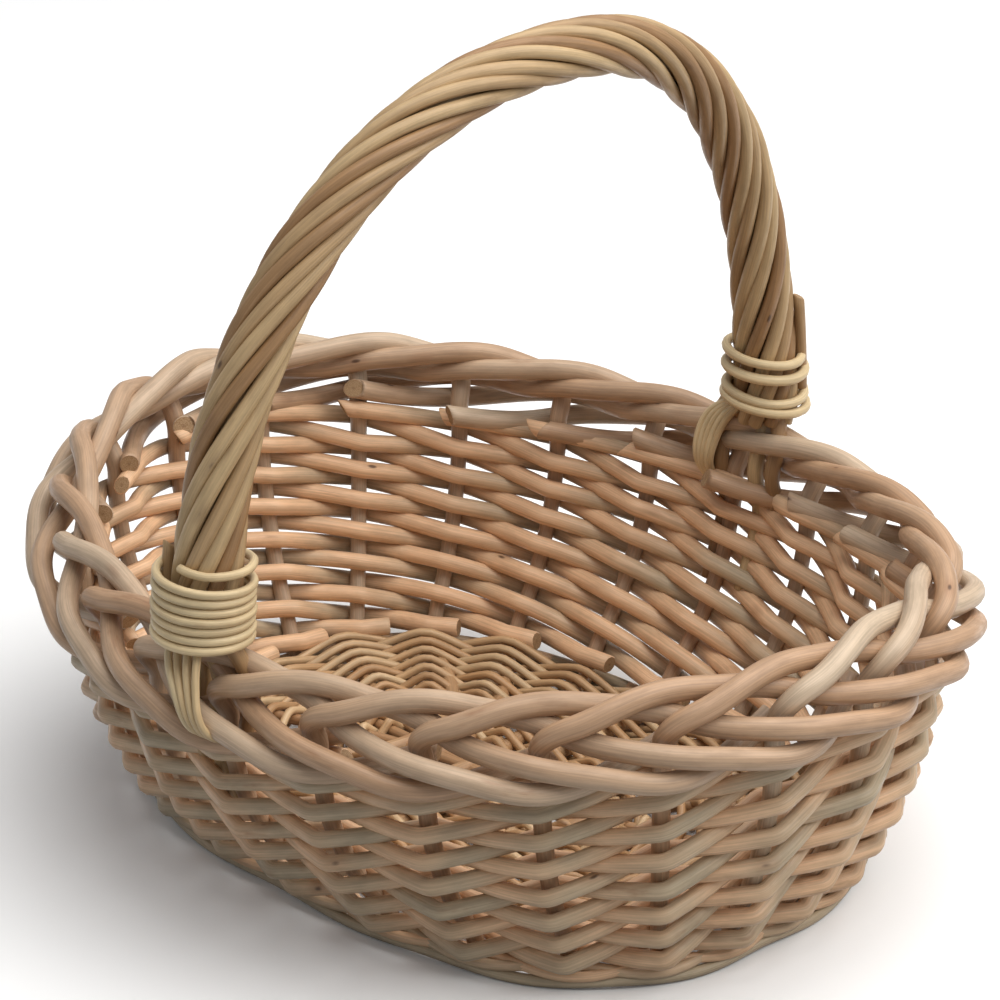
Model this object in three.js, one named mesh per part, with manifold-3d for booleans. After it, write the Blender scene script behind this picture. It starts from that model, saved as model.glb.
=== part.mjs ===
// Oval willow shopping basket: a stick-and-weave base, twenty-four stakes worked up through the
// siding, a plaited border and a roped bow handle whose ends run down into the siding.
// Millimetres, +Z up, origin in the middle of the underside. X runs along the oval, and the
// handle stands across it, from the -Y side to the +Y side.
import * as THREE from 'three';
import { LoftGeometry } from 'three/addons/geometries/LoftGeometry.js';
import { mergeVertices } from 'three/addons/utils/BufferGeometryUtils.js';
import Module from 'manifold-3d';

// Clearance between pieces that touch
const touch = 0.3;

// Stakes and the two ovals that their middle lines follow. The shift, in stake spacings, sets the
// stakes to one side of the handle; the spread, also in spacings, is how much farther apart they
// stand along the foot's sides than round its ends.
const stakeCount = 24;
const stakeDiameter = 6.4;
const stakeTail = 26;
const stakeShift = 0.2;
const footSpread = 0.35;
const footHalfLength = 151;
const footHalfWidth = 106;
const footSquareness = 2.5;
const rimHalfLength = 187;
const rimHalfWidth = 149.5;
const rimSquareness = 2;

// Siding: its thickness in the foot, its top, and how far the ends rise and the sides dip
const sidingThickness = 17;
const sidingTop = 103.5;
const rimLift = 5;
const bareStake = 1.5;

// Relief of the siding's weavers. One starts at each stake and climbs a step to the next, passing
// inside one stake and outside the next. Outside a stake it dips, inside it rises, most at the foot.
const weaverSteps = 14;
const weaverFirst = 11.3;
const weaverClimb = 6.2;
const weaverDip = 1.8;
const weaverFootDip = 2.2;
const weaverFootSteps = 5;
const weaverCrest = 10.2;
const weaverCrossing = 5.2;
const weaverHollow = 4.6;
const weaverFootHollow = 1.2;
const weaverSeat = 7.2;

// Foot ring and base
const footHeight = 12;
const footRound = 2.5;
const baseSkin = 1;
const stickWall = 0.8;
const crossStickCount = 7;
const crossStickDiameter = 7.6;
const crossStickSpacing = 17;
const longStickCount = 3;
const longStickDiameter = 5;
const longStickSpacing = 7;
const coreMargin = 5;

// Border of plaited rods. The route of one rod: along in stake spacings, out from the stakes' line
// and up from where they leave the siding, both in rod diameters. It bends over to the right,
// passes inside the next two stakes and outside the two after them, and ends inside the fifth.
const borderRodDiameter = 8.4;
const borderRoute = [
  { along: 0, out: 0, up: 0.3 },
  { along: 0.02, out: 0.75, up: 1.6 },
  { along: 0.1, out: 0.95, up: 2.05 },
  { along: 0.3, out: 0.92, up: 2.45 },
  { along: 0.65, out: 0.45, up: 3 },
  { along: 1, out: -0.15, up: 3.12 },
  { along: 1.5, out: -0.45, up: 2.7 },
  { along: 2, out: -0.15, up: 2.15 },
  { along: 2.3, out: 0.45, up: 1.6 },
  { along: 2.65, out: 1.3, up: 1.3 },
  { along: 3, out: 1.95, up: 1.05 },
  { along: 3.5, out: 2.1, up: 0.55 },
  { along: 4, out: 1.95, up: -0.05 },
  { along: 4.3, out: 1.2, up: 0 },
  { along: 4.65, out: 0.1, up: 0.35 },
  { along: 5, out: -0.95, up: 0.75 },
];
const borderMiddle = { out: 0.6 * borderRodDiameter, up: 1.67 * borderRodDiameter };
const borderCore = 0.6 * borderRodDiameter;

// Bow handle: a core bow, the rods roped round it and a binding at each foot. The bow leans along
// the basket more and more towards its top.
const handleAlong = 3;
const legAlongLeft = -9;
const legAlongRight = 4;
const handleRise = 208;
const handleSquareness = 2.25;
const handleLean = 21;
const handleLateLean = 2.4;
const legDiameter = 7;
const legDepth = 53.5;
const legBendBelow = 8.5;
const legBendAbove = 6.5;
const legBendOut = 1.5;
const legSplice = 25;
const handleRodCount = 10;
const handleRodDiameter = 6;
const handleRodTurns = 3.1;
const bindingDiameter = 4.1;
const bindingPitchLeft = 4.9;
const bindingPitchRight = 8.4;
const bindingTurnsLeft = 8;
const bindingTurnsRight = 4;

// Facets
const edgeStations = stakeCount * 2;
const borderStations = stakeCount * 4;
const borderSides = 9;
const rodSides = 5;
const bindingSides = 6;
const handleSteps = 27;
const handleRodSides = 5;
const coilSteps = 12;

const wasm = await Module();
wasm.setup();

// A closed geometry without normals, its shared vertices merged
function weld(geometry) {
  const plain = geometry.index ? geometry.toNonIndexed() : geometry.clone();
  plain.deleteAttribute('normal');
  plain.deleteAttribute('uv');
  return mergeVertices(plain, 1e-4);
}

function solid(geometry) {
  const welded = weld(geometry);
  return new wasm.Manifold(new wasm.Mesh({
    numProp: 3,
    vertProperties: new Float32Array(welded.attributes.position.array),
    triVerts: new Uint32Array(welded.index.array),
  }));
}

function geometryOf(manifold) {
  const mesh = manifold.getMesh();
  const geometry = new THREE.BufferGeometry();
  geometry.setAttribute('position', new THREE.BufferAttribute(new Float32Array(mesh.vertProperties), 3));
  geometry.setIndex(new THREE.BufferAttribute(new Uint32Array(mesh.triVerts), 1));
  geometry.computeVertexNormals();
  return geometry;
}

// Cuts each tool out of the body in one go
function cut(body, tools) {
  return body.subtract(wasm.Manifold.union(tools));
}

// An oval walked once round from its -Y side, anticlockwise seen from above
class Oval extends THREE.Curve {
  constructor(halfLength, halfWidth, squareness) {
    super();
    this.halfLength = halfLength;
    this.halfWidth = halfWidth;
    this.squareness = squareness;
    this.arcLengthDivisions = 1440;
  }

  getPoint(t, target = new THREE.Vector3()) {
    const angle = 2 * Math.PI * t - Math.PI / 2;
    const c = Math.cos(angle);
    const s = Math.sin(angle);
    const power = 2 / this.squareness;
    const x = Math.sign(c) * Math.abs(c) ** power * this.halfLength;
    const y = Math.sign(s) * Math.abs(s) ** power * this.halfWidth;
    return target.set(x, y, 0);
  }
}

const footLine = new Oval(footHalfLength, footHalfWidth, footSquareness);
const rimLine = new Oval(rimHalfLength, rimHalfWidth, rimSquareness);

// The way straight out from an oval, level
function outward(line, around) {
  const tangent = line.getTangentAt(((around % 1) + 1) % 1);
  return new THREE.Vector3(tangent.y, -tangent.x, 0).normalize();
}

// Height of the siding's top, higher at the ends than at the handle
function topAt(around) {
  const p = rimLine.getPointAt(((around % 1) + 1) % 1);
  const wave = (p.x / rimHalfLength) ** 2 - (p.y / rimHalfWidth) ** 2;
  return sidingTop + rimLift * wave;
}

// The place on the foot that lies below a place on the rim
function below(turn) {
  const spread = (footSpread / stakeCount) * Math.sin(4 * Math.PI * turn);
  return (((turn + spread) % 1) + 1) % 1;
}

// A point of the wall: how far round, its height, and how far outside the stakes' middle line.
// The wall springs outwards from the foot and stands upright at its top.
function wallPoint(around, height, out) {
  const turn = ((around % 1) + 1) % 1;
  const rise = Math.min(Math.max((height - footHeight) / (topAt(turn) - footHeight), 0), 1);
  const flare = rise * (2 - rise);
  const foot = footLine.getPointAt(below(turn)).addScaledVector(outward(footLine, below(turn)), out);
  const rim = rimLine.getPointAt(turn).addScaledVector(outward(rimLine, turn), out);
  return foot.lerp(rim, flare).setZ(height);
}

// A ring whose section is given at each station round the oval
function ring(stations, section) {
  const sections = [];
  for (let i = 0; i <= stations; i += 1) sections.push(section((i % stations) / stations));
  return new LoftGeometry(sections);
}

// A rod along points: one round section at each, square to the way there
function rod(points, diameter, sides = rodSides) {
  let side = new THREE.Vector3();
  const sections = points.map((point, i) => {
    const ahead = points[Math.min(i + 1, points.length - 1)];
    const behind = points[Math.max(i - 1, 0)];
    const along = ahead.clone().sub(behind).normalize();
    if (i === 0) {
      side.set(Math.abs(along.z) > 0.9 ? 1 : 0, 0, Math.abs(along.z) > 0.9 ? 0 : 1);
    }
    side = side.clone().addScaledVector(along, -side.dot(along)).normalize();
    const other = along.clone().cross(side);
    return circle(point, side, other, diameter / 2, sides);
  });
  return new LoftGeometry(sections, { capStart: true, capEnd: true });
}

function circle(centre, side, other, radius, sides, start = 0) {
  const points = [];
  for (let k = 0; k < sides; k += 1) {
    const angle = start + (2 * Math.PI * k) / sides;
    points.push(centre.clone()
      .addScaledVector(side, radius * Math.cos(angle))
      .addScaledVector(other, radius * Math.sin(angle)));
  }
  return points;
}

// Levels inside the base: the stakes' tails lie under the sticks
const tailHeight = baseSkin + touch + stakeDiameter / 2;
const stickHeight = tailHeight + stakeDiameter / 2 + 2 * touch + stickWall + crossStickDiameter / 2;
const baseThickness = stickHeight + crossStickDiameter / 2 + touch + baseSkin;
const baseInset = sidingThickness / 2 + touch;

// A stake's middle line, from its tail in the base, round the foot and up the wall.
// Reach lengthens it past both ends, to cut its tunnels right through.
function stakeRoute(index, reach) {
  const around = (index + stakeShift) / stakeCount;
  const out = outward(footLine, below(around));
  const foot = footLine.getPointAt(below(around));
  const bend = footHeight - tailHeight;
  const low = (distance) => foot.clone().addScaledVector(out, distance).setZ(tailHeight);
  const points = [low(-baseInset - stakeTail - reach), low(-bend)];
  points.push(foot.clone()
    .addScaledVector(out, bend * (Math.SQRT1_2 - 1))
    .setZ(footHeight - bend * Math.SQRT1_2));
  const top = topAt(around);
  for (const rise of [0, 0.25, 0.55, 1]) {
    points.push(wallPoint(around, footHeight + (top - footHeight) * rise, 0));
  }
  points.push(wallPoint(around, top, 0).setZ(top + bareStake + reach));
  return points;
}

// Room along the rim from one stake to the next
const borderSpacing = rimLine.getLength() / stakeCount;

// Points along the route, a few to each rod diameter
function borderBeads() {
  const size = borderRodDiameter;
  const points = borderRoute.map((p) => (
    new THREE.Vector3(p.along * borderSpacing, p.out * size, p.up * size)
  ));
  return new THREE.CatmullRomCurve3(points, false, 'centripetal').getSpacedPoints(160);
}

// The section of the whole plait at one place: seen from its middle, each direction reaches the
// farthest rod that crosses there
const beads = borderBeads();

function borderReach(along, angle) {
  const c = Math.cos(angle);
  const s = Math.sin(angle);
  let reach = borderCore;
  for (const bead of beads) {
    const turns = Math.round((along - bead.x) / borderSpacing);
    for (const turn of [turns - 1, turns, turns + 1]) {
      const away = along - bead.x - turn * borderSpacing;
      const radius2 = (borderRodDiameter / 2) ** 2 - away ** 2;
      if (radius2 > 0) {
        const out = bead.y - borderMiddle.out;
        const up = bead.z - borderMiddle.up;
        const onRay = out * c + up * s;
        const offRay = out * s - up * c;
        if (onRay > 0 && offRay ** 2 < radius2) {
          reach = Math.max(reach, onRay + Math.sqrt(radius2 - offRay ** 2));
        }
      }
    }
  }
  return reach;
}

// The reach smoothed over a third of a rod's diameter to each side
function smoothReach(along, angle) {
  const step = borderRodDiameter / 3;
  const near = [-step, 0, step].map((shift) => borderReach(along + shift, angle));
  return (near[0] + 2 * near[1] + near[2]) / 4;
}

function borderSection(around) {
  const along = (around * stakeCount - stakeShift) * borderSpacing;
  const base = topAt(around) + bareStake;
  const middle = rimLine.getPointAt(around);
  const out = outward(rimLine, around);
  const points = [];
  for (let k = 0; k < borderSides; k += 1) {
    const angle = -(2 * Math.PI * k) / borderSides;
    const reach = smoothReach(along, angle);
    points.push(middle.clone()
      .addScaledVector(out, borderMiddle.out + reach * Math.cos(angle))
      .setZ(base + borderMiddle.up + reach * Math.sin(angle)));
  }
  return points;
}

const borderHeight = Math.max(...beads.map((bead) => bead.z)) + borderRodDiameter / 2;
const borderTopAtHandle = sidingTop - rimLift + bareStake + borderHeight;
const rimBase = sidingTop + bareStake + borderMiddle.up;

// The handle's middle line: an arch over the basket, its two feet over the middle of the border
const handleHalfSpan = rimHalfWidth + borderMiddle.out;
function archPoint(t) {
  const angle = Math.PI * t;
  const power = 2 / handleSquareness;
  const rise = Math.sin(angle) ** power;
  const side = -Math.sign(Math.cos(angle)) * Math.abs(Math.cos(angle)) ** power;
  return new THREE.Vector3(
    handleAlong + handleLean * rise ** handleLateLean,
    handleHalfSpan * side,
    rimBase + handleRise * rise,
  );
}

class Arch extends THREE.Curve {
  getPoint(t, target = new THREE.Vector3()) {
    return target.copy(archPoint(t));
  }
}
const arch = new Arch();
arch.arcLengthDivisions = 1000;
const archLength = arch.getLength();

// The arch's own frame at a distance along it: outwards of the arch, and square to it
function archFrame(distance) {
  const t = distance / archLength;
  const centre = arch.getPointAt(t);
  const along = arch.getTangentAt(t);
  const across = new THREE.Vector3(1, 0, 0).addScaledVector(along, -along.x).normalize();
  const outside = across.clone().cross(along);
  return { centre, along, across, outside };
}

// The rods lie side by side round the core, and the facets' sag leaves the core free
const rodPitchRadius = (handleRodDiameter + touch) / 2 / Math.sin(Math.PI / handleRodCount);
const ropeRadius = rodPitchRadius + handleRodDiameter / 2;
const ropeStart = borderTopAtHandle + 2 * touch - rimBase;
const ropeLength = archLength - 2 * ropeStart;
const ropeStep = (2 * Math.PI * handleRodTurns) / handleSteps;
const coreRadius = (rodPitchRadius - handleRodDiameter / 2) * Math.cos(ropeStep / 2) - touch;

function ropeStation(i) {
  return archFrame(ropeStart + (ropeLength * i) / handleSteps);
}

function handleRod(index) {
  const sections = [];
  for (let i = 0; i <= handleSteps; i += 1) {
    const f = ropeStation(i);
    const angle = (2 * Math.PI * index) / handleRodCount - ropeStep * i;
    const side = f.across.clone().multiplyScalar(Math.cos(angle))
      .addScaledVector(f.outside, Math.sin(angle));
    const other = f.along.clone().cross(side);
    const centre = f.centre.clone().addScaledVector(side, rodPitchRadius);
    sections.push(circle(centre, side, other, handleRodDiameter / 2, handleRodSides));
  }
  return new LoftGeometry(sections, { capStart: true, capEnd: true });
}

// The bow's ends: from inside the rope down through the border and beside a stake into the siding
function legRoute(sign, reach) {
  const top = sidingTop - rimLift;
  const along = sign < 0 ? legAlongLeft : legAlongRight;
  const onArch = (distance) => archFrame(sign < 0 ? distance : archLength - distance).centre;
  const inWall = (height) => {
    const side = wallPoint(sign < 0 ? 0 : 0.5, height, 0).y;
    return new THREE.Vector3(along, side, height);
  };
  return [
    inWall(top - legDepth - reach),
    inWall(top - legDepth / 2),
    inWall(top - legBendBelow),
    new THREE.Vector3(along, sign * (rimHalfWidth + legBendOut), top + legBendAbove),
    onArch(ropeStart),
    onArch(ropeStart + legSplice),
  ];
}

function handleBow() {
  const points = [];
  for (let i = 0; i <= handleSteps; i += 1) points.push(ropeStation(i).centre);
  const bow = solid(rod(points, 2 * coreRadius));
  const legs = [-1, 1].map((sign) => solid(rod(legRoute(sign, 0), legDiameter)));
  return wasm.Manifold.union([bow, ...legs]);
}

// A binding: one rod wound round the roped handle above its foot, its ends straight
function bindingPath(fromStart, turns, pitch) {
  const radius = ropeRadius + touch + bindingDiameter / 2 / Math.cos(Math.PI / bindingSides) + touch;
  const points = [];
  const steps = turns * coilSteps;
  const begin = ropeStart + bindingDiameter;
  for (let i = 0; i <= steps; i += 1) {
    const distance = begin + (pitch * i) / coilSteps;
    const f = archFrame(fromStart ? distance : archLength - distance);
    const angle = (2 * Math.PI * i) / coilSteps;
    points.push(f.centre.clone()
      .addScaledVector(f.across, radius * Math.cos(angle))
      .addScaledVector(f.outside, radius * Math.sin(angle)));
  }
  const first = points[0].clone().sub(points[1]).normalize();
  const last = points[steps].clone().sub(points[steps - 1]).normalize();
  points.unshift(points[0].clone().addScaledVector(first, bindingDiameter));
  points.push(points[points.length - 1].clone().addScaledVector(last, bindingDiameter));
  return points;
}

// Least gap of a coil to itself, measured between points at least half a turn apart
function leastGap(points, diameter) {
  let least = Infinity;
  for (let i = 0; i < points.length; i += 1) {
    for (let j = i + coilSteps / 2; j < points.length; j += 1) {
      least = Math.min(least, points[i].distanceTo(points[j]) - diameter);
    }
  }
  return least;
}

const willow = (color, roughness) => new THREE.MeshStandardMaterial({ color, roughness, metalness: 0 });
const colours = {
  stake: willow(0xb98f66, 0.6),
  weave: willow(0xbf9a72, 0.62),
  border: willow(0xc6a47e, 0.55),
  base: willow(0xb8946c, 0.65),
  handle: willow(0xc3a478, 0.55),
  binding: willow(0xcbb58a, 0.5),
};

const basket = new THREE.Group();
basket.name = 'oval_shopping_basket';

function add(name, geometry, material) {
  const mesh = new THREE.Mesh(geometry, material);
  mesh.name = name;
  basket.add(mesh);
}

const numbered = (name, index) => `${name}_${String(index + 1).padStart(2, '0')}`;

// Stakes and the tunnels that they need
const stakeTools = [];
for (let i = 0; i < stakeCount; i += 1) {
  add(numbered('stake', i), weld(rod(stakeRoute(i, 0), stakeDiameter)), colours.stake);
  stakeTools.push(solid(rod(stakeRoute(i, touch), stakeDiameter + 2 * touch)));
}

// Base edge: an oval slab just inside the foot ring
const baseEdge = [];
for (let i = 0; i < edgeStations; i += 1) {
  const around = i / edgeStations;
  const p = footLine.getPointAt(around).addScaledVector(outward(footLine, around), -baseInset);
  baseEdge.push(new THREE.Vector2(p.x, p.y));
}
const slab = solid(new THREE.ExtrudeGeometry(new THREE.Shape(baseEdge), {
  depth: baseThickness, steps: 1, bevelEnabled: false,
}));

// Base sticks, trimmed at the base's edge. The long ones are threaded through split cross sticks
// in the core, and from there all of them fan out evenly to the edge.
const spokeCount = 2 * (crossStickCount + longStickCount);
const coreHalfLength = ((crossStickCount - 1) / 2) * crossStickSpacing + coreMargin;
const coreHalfWidth = ((longStickCount - 1) / 2) * longStickSpacing + coreMargin;

function spokeEnd(spoke, core) {
  const around = (((spoke / spokeCount) % 1) + 1) % 1;
  const edge = footLine.getPointAt(around).addScaledVector(outward(footLine, around), -baseInset);
  const end = edge.setZ(stickHeight).sub(core);
  return end.setLength(end.length() + baseInset).add(core);
}

function stickSolid(cores, spokes, diameter) {
  const ends = cores.map((core, i) => spokeEnd(spokes[i], core));
  return solid(rod([ends[0], cores[0], cores[1], ends[1]], diameter));
}

function crossStick(index, diameter) {
  const x = index * crossStickSpacing;
  const cores = [-coreHalfWidth, coreHalfWidth].map((y) => new THREE.Vector3(x, y, stickHeight));
  return stickSolid(cores, [index, spokeCount / 2 - index], diameter);
}

function longStick(index, diameter) {
  const y = index * longStickSpacing;
  const cores = [-coreHalfLength, coreHalfLength].map((x) => new THREE.Vector3(x, y, stickHeight));
  return stickSolid(cores, [(3 * spokeCount) / 4 - index, spokeCount / 4 + index], diameter);
}

const spread = (count) => Array.from({ length: count }, (_, i) => i - (count - 1) / 2);
const longTunnels = spread(longStickCount).map((i) => longStick(i, longStickDiameter + 2 * touch));
const crossTunnels = spread(crossStickCount).map((i) => crossStick(i, crossStickDiameter + 2 * touch));
spread(longStickCount).forEach((place, i) => {
  const trimmed = longStick(place, longStickDiameter).intersect(slab);
  add(numbered('base_long_stick', i), geometryOf(trimmed), colours.base);
});
spread(crossStickCount).forEach((place, i) => {
  const trimmed = crossStick(place, crossStickDiameter).intersect(slab);
  add(numbered('base_cross_stick', i), geometryOf(cut(trimmed, longTunnels)), colours.base);
});

// Base weave: the slab woven round the sticks and over the stakes' tails
const baseTools = [...stakeTools, ...longTunnels, ...crossTunnels];
add('base_weave', geometryOf(cut(slab, baseTools)), colours.base);

// Foot ring: the first rounds of weaving, which turn the stakes up and carry the basket
const half = sidingThickness / 2;
function footSection(around) {
  const corners = [
    [-half, 0], [half - footRound, 0], [half, footRound], [half, footHeight], [-half, footHeight],
  ];
  const out = outward(footLine, around);
  const middle = footLine.getPointAt(around);
  return corners.reverse().map(([r, z]) => middle.clone().addScaledVector(out, r).setZ(z));
}
add('foot_ring', geometryOf(cut(solid(ring(edgeStations, footSection)), stakeTools)), colours.weave);

// Siding: the woven wall with a tunnel for each stake and for each end of the bow. Its stations
// are the stakes and the middles of the spaces, and its levels the weavers' steps.
const wallAtHandle = sidingTop - rimLift - footHeight;

function weaverHeight(around, step, side, atStake) {
  const low = footHeight + touch;
  const top = topAt(around);
  const faded = Math.max(0, 1 - step / weaverFootSteps);
  const dip = atStake ? side * (weaverDip + weaverFootDip * faded) : 0;
  const rise = (weaverFirst + weaverClimb * step - dip - footHeight) / wallAtHandle;
  if (step === 0) return low;
  return step === weaverSteps ? top : footHeight + (top - footHeight) * rise;
}

function weaverReach(step, side, atStake) {
  if (step === 0) return weaverSeat;
  if (!atStake) return weaverCrossing;
  const outside = step % 2 === 1;
  if (outside === (side > 0)) return weaverCrest;
  return weaverHollow + weaverFootHollow * (1 - step / weaverSteps);
}

function sidingSection(around, atStake) {
  const points = [];
  const lay = (step, side) => {
    const height = weaverHeight(around, step, side, atStake);
    points.push(wallPoint(around, height, side * weaverReach(step, side, atStake)));
  };
  for (let step = 0; step <= weaverSteps; step += 1) lay(step, -1);
  for (let step = weaverSteps; step >= 0; step -= 1) lay(step, 1);
  return points;
}

function sidingRing() {
  const sections = [];
  for (let i = 0; i <= edgeStations; i += 1) {
    const station = i % edgeStations;
    sections.push(sidingSection((station / 2 + stakeShift) / stakeCount, station % 2 === 0));
  }
  return new LoftGeometry(sections);
}
const legTools = [-1, 1].map((sign) => solid(rod(legRoute(sign, touch), legDiameter + 2 * touch)));
const siding = solid(sidingRing());
add('side_weave', geometryOf(cut(siding, [...stakeTools, ...legTools])), colours.weave);

// Border
const plait = solid(ring(borderStations, borderSection));
add('border', geometryOf(cut(plait, legTools)), colours.border);

// Handle
add('handle_bow', geometryOf(handleBow()), colours.handle);
for (let i = 0; i < handleRodCount; i += 1) {
  add(numbered('handle_rod', i), weld(handleRod(i)), colours.handle);
}
const bindings = {
  left: bindingPath(true, bindingTurnsLeft, bindingPitchLeft),
  right: bindingPath(false, bindingTurnsRight, bindingPitchRight),
};
for (const [name, path] of Object.entries(bindings)) {
  add(`handle_binding_${name}`, weld(rod(path, bindingDiameter, bindingSides)), colours.binding);
  console.log(`${name} binding: least gap ${leastGap(path, bindingDiameter).toFixed(2)} mm`);
}

export default basket;
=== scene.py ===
import math
import random

import bmesh
import bpy
import numpy as np
from mathutils import Matrix, Vector

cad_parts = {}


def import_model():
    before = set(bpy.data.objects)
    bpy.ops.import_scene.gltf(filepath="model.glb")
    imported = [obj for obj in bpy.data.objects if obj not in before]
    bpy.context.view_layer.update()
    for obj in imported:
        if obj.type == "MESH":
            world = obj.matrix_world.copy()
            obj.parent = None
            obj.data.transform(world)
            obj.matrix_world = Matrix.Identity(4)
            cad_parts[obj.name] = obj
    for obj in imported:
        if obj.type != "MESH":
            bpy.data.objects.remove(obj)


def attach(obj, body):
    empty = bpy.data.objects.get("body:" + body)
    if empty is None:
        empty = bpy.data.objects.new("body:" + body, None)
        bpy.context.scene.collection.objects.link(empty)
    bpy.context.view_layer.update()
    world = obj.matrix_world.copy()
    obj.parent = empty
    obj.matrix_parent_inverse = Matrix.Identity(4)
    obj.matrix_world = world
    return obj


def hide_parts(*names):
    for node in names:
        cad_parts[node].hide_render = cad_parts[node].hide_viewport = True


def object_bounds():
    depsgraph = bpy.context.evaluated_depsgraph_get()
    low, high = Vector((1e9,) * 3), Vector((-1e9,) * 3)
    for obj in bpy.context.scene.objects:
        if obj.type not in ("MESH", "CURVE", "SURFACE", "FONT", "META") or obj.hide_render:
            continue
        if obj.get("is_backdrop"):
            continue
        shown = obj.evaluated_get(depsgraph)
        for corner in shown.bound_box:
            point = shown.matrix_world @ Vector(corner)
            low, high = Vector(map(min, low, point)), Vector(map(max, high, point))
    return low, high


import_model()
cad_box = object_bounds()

# An oval willow basket, every rod laid one by one. Lengths below are millimetres, in the frame of
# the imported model: X along the oval, Y across it, Z up from the underside.
MM = 0.001

# Stakes and the ovals that they stand on
STAKE_COUNT = 24
STAKE_SHIFT = 0.2
FOOT_SPREAD = 0.35
FOOT_OVAL = (151, 106, 2.75)
RIM_OVAL = (187, 149.5, 2)
FOOT_HEIGHT = 12
SIDING_TOP = 103.5
RIM_LIFT = 5
BARE_STAKE = 1.5
TAIL_HEIGHT = 4.5
TAIL_LENGTH = 26
BASE_INSET = 8.8

# A stake's diameter in the siding, and at each share of its length. It is fullest where it bends
# into the border.
STAKE_THICK = 7
STAKE_SHARES = (0, 0.2, 0.3, 0.42, 0.65, 1)
STAKE_TAPER = (6.4, STAKE_THICK, STAKE_THICK, 9.2, 9, 8.6)

# Siding of one weaver to a space. Each starts inside and runs on past WEAVER_STEPS stakes, in front
# of every other one. BUTT, THICK and TIP are its diameters. FIRST is the height of its first inside
# pass, CLIMB the way up from one inside pass to the next, STEP the way up from an inside pass to the
# outside one, and LAST a further rise in the last step. It starts BEFORE its first stake and ends
# PAST its last one, both in stake spacings, and SOFT is how gently it bends.
WEAVER_STEPS = 14
WEAVER_BUTT = 7.9
WEAVER_THICK = 7.5
WEAVER_TIP = 7.1
WEAVER_FIRST = 12.6
WEAVER_CLIMB = 12.15
WEAVER_STEP = 6.2
WEAVER_LAST = 1.6
WEAVER_BEFORE = 0.42
WEAVER_PAST = 0.16
WEAVER_SOFT = 0.05

# The handwork's unevenness. The rows tilt up to the back, the upper ones hang lower at the front and
# stand higher at the oval's ends, and the rods are a little thicker at the back.
WEAVER_TILT = 1.5
WEAVER_DROP = 5
WEAVER_ENDS = 5
WEAVER_SWELL = 0.06

# Painted light and shade: a weaver's colour swings warmer and brighter where it passes inside the
# basket, standing in for the light there, and greyer and darker where it passes outside, standing in
# for the shade.
PAINTED_SHADE_SWING = 0.45
PAINTED_SHADE_SOFT = 0.07

# Border. The route of one rod: along in stake spacings, out from the stakes' line and up from where
# they leave the siding, both counted in BORDER_THICK. It bends over to the right, passes inside the
# next two stakes and outside the two after them, and ends inside the fifth. The border stands a
# little higher at the oval's ends and lower at the front.
BORDER_THICK = 8.4
BORDER_ENDS = 6
BORDER_DROP = 3
BORDER_ROUTE = [
    (0, 0, 0.3),
    (0.02, 0.75, 1.6),
    (0.1, 0.95, 2.05),
    (0.3, 0.92, 2.45),
    (0.65, 0.45, 3),
    (1, -0.15, 3.12),
    (1.5, -0.45, 2.7),
    (2, -0.15, 2.15),
    (2.3, 0.45, 1.6),
    (2.65, 1.3, 1.3),
    (3, 1.95, 1.05),
    (3.5, 2.1, 0.45),
    (4, 1.95, -0.2),
    (4.3, 1.2, -0.2),
    (4.65, 0.1, 0.15),
    (5.07, -0.95, 0.75),
]

# How far above and inside of its place in the route the stub of a rod ends, counted in BORDER_THICK.
# Rod 7 passes inside the liners of the handle's right foot.
PLAIN_STUB = (-0.3, 0)
STUBS = {7: (-0.3, 0.9), 8: (0.1, 0), 9: (-0.6, 0.2), 10: (-0.6, 0.5), 11: (0.2, 0)}

# Base
SPOKE_COUNT = 20
STICK_HEIGHT = 12.9
CROSS_STICK_THICK = 7.6
CROSS_STICK_SPACING = 17
LONG_STICK_THICK = 5
LONG_STICK_SPACING = 7
CORE_MARGIN = 5
BASE_WEAVER_THICK = 3.7
BASE_ROWS = 20

# Handle. Its arch stands across the basket, over RIM_BASE, and leans towards +X as it rises. The
# rope's rods run round it at ROPE_RADIUS and start ROPE_START along it from each foot.
HANDLE_ALONG = 3
HANDLE_HALF_SPAN = 154.5
HANDLE_RISE = 208
HANDLE_SQUARENESS = 2.25
HANDLE_LEAN = 21
HANDLE_LATE_LEAN = 2.4
RIM_BASE = 119
ROPE_RODS = 10
ROPE_ROD_THICK = 6.2
ROPE_TURNS = 3.1
ROPE_RADIUS = 10.2
ROPE_START = 11
ROPE_CORE_THICK = 11.5


def smoothstep(part):
    return part * part * (3 - 2 * part)


class Oval:
    """An oval walked once round from its -Y side, anticlockwise seen from above."""

    def __init__(self, half_length, half_width, squareness):
        angles = np.linspace(-0.5 * np.pi, 1.5 * np.pi, 1441)
        c, s = np.cos(angles), np.sin(angles)
        power = 2 / squareness
        self.x = np.sign(c) * np.abs(c) ** power * half_length
        self.y = np.sign(s) * np.abs(s) ** power * half_width
        steps = np.hypot(np.diff(self.x), np.diff(self.y))
        self.run = np.concatenate([[0], np.cumsum(steps)])
        self.length = self.run[-1]

    def at(self, turn):
        run = (turn % 1) * self.length
        return Vector((np.interp(run, self.run, self.x), np.interp(run, self.run, self.y), 0))

    def out(self, turn):
        ahead = self.at(turn + 0.0005) - self.at(turn - 0.0005)
        return Vector((ahead.y, -ahead.x, 0)).normalized()


foot_line = Oval(*FOOT_OVAL)
rim_line = Oval(*RIM_OVAL)
UP = Vector((0, 0, 1))


def below(turn):
    return turn + FOOT_SPREAD / STAKE_COUNT * math.sin(4 * math.pi * turn)


def tilt_at(turn):
    """The handwork's own tilt: up at the +Y side and a little at the -X end."""
    p = rim_line.at(turn)
    return p.y / RIM_OVAL[1] - 0.33 * p.x / RIM_OVAL[0]


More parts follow.
